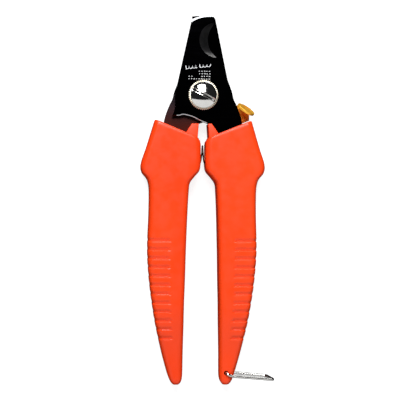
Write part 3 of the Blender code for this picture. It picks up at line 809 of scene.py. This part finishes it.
def coil_spring():
    """A coil whose end turns lie close together, running straight between the two grips' pockets."""
    turns, wire = SPRING_TURNS, SPRING_WIRE
    reach = (SPRING_HIGH.x - SPRING_LOW.x) / 2 / MM - wire
    steps = 40
    path = []
    total = int(turns * steps)
    dead = 1.0 / turns
    closed = 1.1 * wire * 2 * turns * dead / (2 * reach)
    centre = SPRING_CENTRE / MM
    for i in range(total + 1):
        t = i / total
        angle = 2 * math.pi * turns * t
        if t < dead:
            along = closed * (t / dead)
        elif t > 1 - dead:
            along = 1 - closed * ((1 - t) / dead)
        else:
            along = closed + (1 - 2 * closed) * (t - dead) / (1 - 2 * dead)
        path.append(Vector((reach - 2 * reach * along, centre.y + SPRING_RADIUS * math.cos(angle),
                            centre.z + SPRING_RADIUS * math.sin(angle))))
    spring = paint(tube("spring_coil", path, wire, 14), SPRING)
    spring.data.shade_smooth()
    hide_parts("coil_spring")
    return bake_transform(spring)


# Bail --------------------------------------------------------------------------------------------


def wire_bail():
    """A bent wire whose two ends meet inside the grip's hole."""
    back = [(spot, -BAIL_REACH) for spot in (BAIL_AXIS, BAIL_KNEE, BAIL_BACK_END)]
    front = [(spot, BAIL_REACH) for spot in (BAIL_FRONT_END, BAIL_KNEE, BAIL_AXIS)]
    bends = [(BAIL_AXIS, -BAIL_PIN_GAP), *back, *front, (BAIL_AXIS, BAIL_PIN_GAP)]
    points = [Vector((*spot, MIDDLE / MM + z)) for spot, z in bends]
    bail = paint(tube("bail_wire", rounded_path(points, BAIL_BEND), BAIL_WIRE, 24), CHROME)
    shade(bail, 50)
    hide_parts("wire_bail")
    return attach(bail, "bail")


# Printed marks -----------------------------------------------------------------------------------


def ribbon(work, path, width, height):
    """A flat strip along a path, at a height."""
    sides = []
    for i, point in enumerate(path):
        along = (path[min(i + 1, len(path) - 1)] - path[max(i - 1, 0)]).normalized()
        across = Vector((-along.y, along.x)) * width(i / (len(path) - 1)) / 2
        sides.append([work.verts.new((*spot, height)) for spot in (point + across, point - across)])
    for a, b in zip(sides, sides[1:]):
        work.faces.new((a[0], a[1], b[1], b[0]))


def printed_marks():
    """Two rising waves over rows of small dashes: no lettering."""
    work = bmesh.new()
    height = FRONT_HIGH / MM + 0.012
    for start, loops, length in ((-7.2, 3.5, 4.6), (-1.6, 3, 4.4)):
        path = []
        for i in range(WAVE_STEPS + 1):
            t = i / WAVE_STEPS
            angle = 2 * math.pi * loops * t
            x = start + length * t - 0.3 * math.sin(angle)
            y = 11.0 + 0.11 * (x + 7.2) + (0.85 if t < 0.12 else 0.5) * math.cos(angle)
            path.append(Vector((x, y)))
        ribbon(work, path, lambda t: 0.13 + 0.16 * abs(math.sin(2 * math.pi * loops * t)), height)
    rows = (-1.9, range(5)), (-1.8, range(5)), (-6.0, (0, 1, 5, 6, 7, 8)), (-6.1, range(9))
    for row, (left, columns) in enumerate(rows):
        y = DASH_TOP - DASH_ROW_PITCH * row
        for i in columns:
            x = left + DASH_PITCH * i
            dash = [Vector((x, y)), Vector((x + 0.36 + 0.1 * ((i * 7 + row * 3) % 3), y))]
            ribbon(work, dash, lambda t: DASH_WIDTH, height)
    made = mesh_object("printed_flourish", work)
    for face in made.data.polygons:
        if face.normal.z < 0:
            face.flip()
    thick = made.modifiers.new("ink", "SOLIDIFY")
    thick.thickness = 0.01 * MM
    settle(made)
    paint(made, PRINT)
    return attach(made, "right_lever")


# Guard --------------------------------------------------------------------------------------------


def arc(radius, start, end, steps, centre=(0, 0)):
    """Points on a circle, from one angle to another in radians."""
    angles = [start + (end - start) * i / steps for i in range(steps + 1)]
    return [Vector(centre) + radius * Vector((math.cos(a), math.sin(a))) for a in angles]


def guard_outline():
    """The flat part, anticlockwise: the nose over the jaws, the hub and the arm."""
    root = math.acos(NOSE_HALF_WIDTH / HUB_RADIUS)
    nose = arc(NOSE_HALF_WIDTH, 0, math.pi, 32, (0, NOSE_LENGTH))
    back = arc(HUB_RADIUS, math.pi - root, math.radians(HUB_END), 40)
    front = arc(HUB_RADIUS, math.radians(HUB_START), root, 10)
    return [*nose, *back, *in_mm(GUARD_ARM), *front]


def nail_guard():
    """A flat stamping with a round, dished pad that stands up from its arm."""
    low, thickness = GUARD_LOW, MM
    outline = guard_outline()
    made = extruded("guard_plate", outline, low, low + thickness, [GUARD_ROUNDING] * len(outline))
    # The stamping's deeper orange is a painted reflection of the orange grip.
    paint(made, GOLD_WITH_PAINTED_REFLECTION)
    cut(made, paint(cylinder("bore", GUARD_BORE, low - MM, low + 2 * MM), GOLD_WITH_PAINTED_REFLECTION))
    cut(made, guard_neck(), "UNION")
    cut(made, guard_pad(), "UNION")
    shade(made, 35)
    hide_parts("nail_guard")
    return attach(made, "guard")


def pad_place():
    turn = Matrix.Rotation(math.radians(PAD_TURN), 4, "Z")
    lean = Matrix.Rotation(math.radians(PAD_LEAN), 4, "X")
    return Matrix.Translation(Vector(PAD_CENTRE) * MM) @ turn @ lean


def guard_neck():
    """A strip below the pad, in the pad's own axes. Its foot stops a little short of the arm's edge."""
    u, v = NECK_HALF_WIDTH, NECK_HALF_THICKNESS
    outline = [Vector(p) for p in ((-u, -v), (u, -v), (u, v), (-u, v))]
    neck = extruded("neck", outline, NECK_LOW * MM, NECK_HIGH * MM)
    neck.data.transform(pad_place())
    return paint(neck, GOLD_WITH_PAINTED_REFLECTION)


def guard_pad():
    """A disc with a raised rim and two dished faces, facing along its own Y."""
    radius, half, soft = PAD_RADIUS, PAD_HALF_THICKNESS, GUARD_ROUNDING
    rim = [(radius - soft, -half), (radius, soft - half), (radius, half - soft), (radius - soft, half)]
    dish = [(radius - 0.45, half), (radius - 0.75, half - PAD_DISH), (0, half - PAD_DISH)]
    back = [(r, -h) for r, h in reversed(dish)]
    pad = lathe("pad", back + rim + dish, 128)
    pad.data.transform(pad_place() @ Matrix.Rotation(math.pi / 2, 4, "X"))
    return paint(pad, GOLD)


# Nut and hidden pieces --------------------------------------------------------------------


def carry_over(node, material, soften=0.0):
    """A CAD node that stays, with a better material and softened edges."""
    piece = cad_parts[node]
    paint(piece, material)
    if soften:
        bevel = piece.modifiers.new("soften", "BEVEL")
        bevel.width = soften * MM
        bevel.segments = 2
        bevel.limit_method = "ANGLE"
        bevel.angle_limit = math.radians(50)


# Studio ------------------------------------------------------------------------------------------


def glowing(name, shape, grey, glow):
    """A matt white surface that glows a little; a bmesh in metres gives its shape."""
    mesh = bpy.data.meshes.new(name)
    shape.to_mesh(mesh)
    shape.free()
    made = Finish(name + "_white")
    made.shader.inputs["Base Color"].default_value = (grey, grey, grey, 1)
    made.shader.inputs["Roughness"].default_value = 0.9
    made.shader.inputs["Emission Color"].default_value = (1, 1, 1, 1)
    made.shader.inputs["Emission Strength"].default_value = glow
    return paint(link(name, mesh), made.material)


def studio():
    """A white floor and a white dome for a backdrop, three softboxes and a nearly black world."""
    work = bmesh.new()
    bmesh.ops.create_grid(work, x_segments=1, y_segments=1, size=3.0)
    floor = glowing("floor", work, 0.35, 0.85)
    floor.location.z = -0.0002
    floor.visible_glossy = floor.visible_diffuse = False

    work = bmesh.new()
    bmesh.ops.create_uvsphere(work, u_segments=48, v_segments=24, radius=2.9)
    bmesh.ops.reverse_faces(work, faces=work.faces)
    backdrop = glowing("backdrop", work, 0.0, 0.95)
    for kind in ("glossy", "diffuse", "transmission", "shadow", "volume_scatter"):
        setattr(backdrop, "visible_" + kind, False)

    target = Vector((0, -0.045, 0))
    softbox("key", (-0.055, 0.37, 0.53), target, (0.34, 0.42), 6.0)
    softbox("horizon", (0.05, 0.72, 0.13), target, (0.9, 0.24), 2.8)
    softbox("lower_bounce", (0.0, -0.53, 0.44), target, (2.0, 0.75), 3.9)

    world = bpy.data.worlds.new("studio")
    world.use_nodes = True
    bpy.context.scene.world = world
    world.node_tree.nodes["Background"].inputs["Color"].default_value = (0.95, 0.97, 1.0, 1)
    world.node_tree.nodes["Background"].inputs["Strength"].default_value = 0.016


def softbox(name, spot, target, size, power):
    light = bpy.data.lights.new(name, "AREA")
    light.shape = "RECTANGLE"
    light.size, light.size_y = size
    light.energy = power
    lamp = link(name, light)
    lamp.location = spot
    lamp.rotation_euler = (target - Vector(spot)).to_track_quat("-Z", "Y").to_euler()
    lamp.visible_camera = False


def camera():
    """Above the clipper, a little to its left and turned a little, far enough for a mild perspective."""
    data = bpy.data.cameras.new("camera")
    data.lens, data.sensor_width = 96.9, 36
    view = link("camera", data)
    target = Vector((0.87, -44.4, 6.5)) * MM
    view.location = target + Vector((-33, 0, 449)) * MM
    roll = math.radians(0.55)
    back = (view.location - target).normalized()
    right = Vector((-math.sin(roll), math.cos(roll), 0)).cross(back).normalized()
    view.rotation_euler = Matrix((right, back.cross(right), back)).transposed().to_euler()
    bpy.context.scene.camera = view
    bpy.context.scene.view_settings.view_transform = "Standard"


blade("front_plate", FRONT_TOE, 2.5, "right_lever", "front_blade")
blade("rear_plate", REAR_TOE, 3.7, "left_lever", "rear_blade")
grip("right_handle_shell", 1, RIGHT_COLLAR, FRONT_LOW, "right_grip", "right_lever")
grip("left_handle_shell", -1, LEFT_COLLAR, REAR_LOW, "left_grip", "left_lever")
pivot_screw()
milled_washer()
coil_spring()
wire_bail()
printed_marks()
nail_guard()
carry_over("pivot_nut", CHROME, 0.15)
carry_over("pivot_bush", CHROME)
carry_over("wave_washer", SPRING)
studio()
camera()
